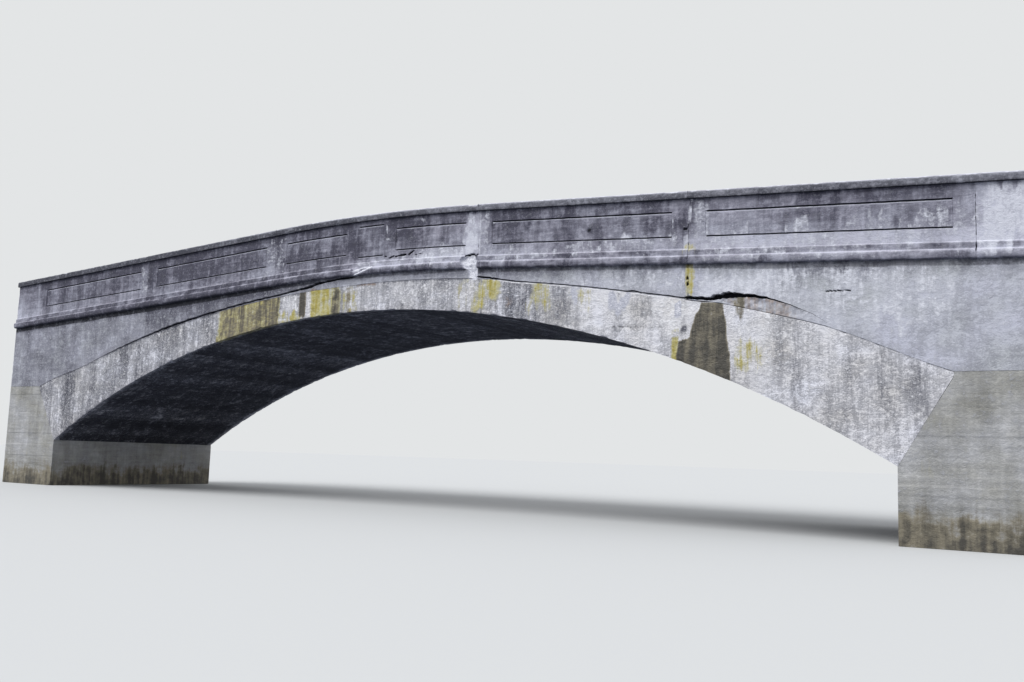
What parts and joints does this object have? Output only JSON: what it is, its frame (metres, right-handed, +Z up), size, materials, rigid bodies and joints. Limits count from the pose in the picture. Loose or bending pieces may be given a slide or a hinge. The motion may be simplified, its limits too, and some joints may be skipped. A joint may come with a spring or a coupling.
{
  "type": "concrete arch road bridge",
  "caption": "Short road bridge of cast concrete: a flat arch between solid abutments, with closed side walls, panelled parapets and flat copings.",
  "frame": {"origin": "middle of the bridge, halfway between the two wall faces, at the level where the abutments meet the water", "axes": "+X along the road, +Y across the bridge away from the pictured side, +Z up"},
  "size_m": [25.7, 5.5558, 6.2549],
  "materials": {
    "abutment_concrete": "rough board-marked concrete",
    "ring_concrete": "weathered board-marked concrete",
    "spandrel_concrete": "weathered cast concrete",
    "parapet_concrete": "soot-stained cast concrete",
    "coping_concrete": "trowelled weathered concrete",
    "post_concrete": "plain cast concrete",
    "packed_fill": "packed earth and gravel",
    "road_surface": "worn road surface"
  },
  "bodies": {
    "root": {"left_abutment": "abutment_concrete", "right_abutment": "abutment_concrete", "arch_barrel": "ring_concrete", "road_fill": "packed_fill", "road_slab": "road_surface", "front_far_left_spandrel": "spandrel_concrete", "front_left_spandrel": "spandrel_concrete", "front_centre_spandrel": "spandrel_concrete", "front_right_spandrel": "spandrel_concrete", "front_far_right_spandrel": "spandrel_concrete", "back_far_left_spandrel": "spandrel_concrete", "back_left_spandrel": "spandrel_concrete", "back_centre_spandrel": "spandrel_concrete", "back_right_spandrel": "spandrel_concrete", "back_far_right_spandrel": "spandrel_concrete", "front_far_left_parapet": "parapet_concrete", "front_left_parapet": "parapet_concrete", "front_centre_parapet": "parapet_concrete", "front_right_parapet": "parapet_concrete", "front_far_right_parapet": "parapet_concrete", "back_far_left_parapet": "parapet_concrete", "back_left_parapet": "parapet_concrete", "back_centre_parapet": "parapet_concrete", "back_right_parapet": "parapet_concrete", "back_far_right_parapet": "parapet_concrete", "front_far_left_coping": "coping_concrete", "front_left_coping": "coping_concrete", "front_centre_coping": "coping_concrete", "front_right_coping": "coping_concrete", "front_far_right_coping": "coping_concrete", "back_far_left_coping": "coping_concrete", "back_left_coping": "coping_concrete", "back_centre_coping": "coping_concrete", "back_right_coping": "coping_concrete", "back_far_right_coping": "coping_concrete", "front_left_end_post": "post_concrete", "front_right_end_post": "post_concrete", "back_left_end_post": "post_concrete", "back_right_end_post": "post_concrete"}
  },
  "joints": []
}
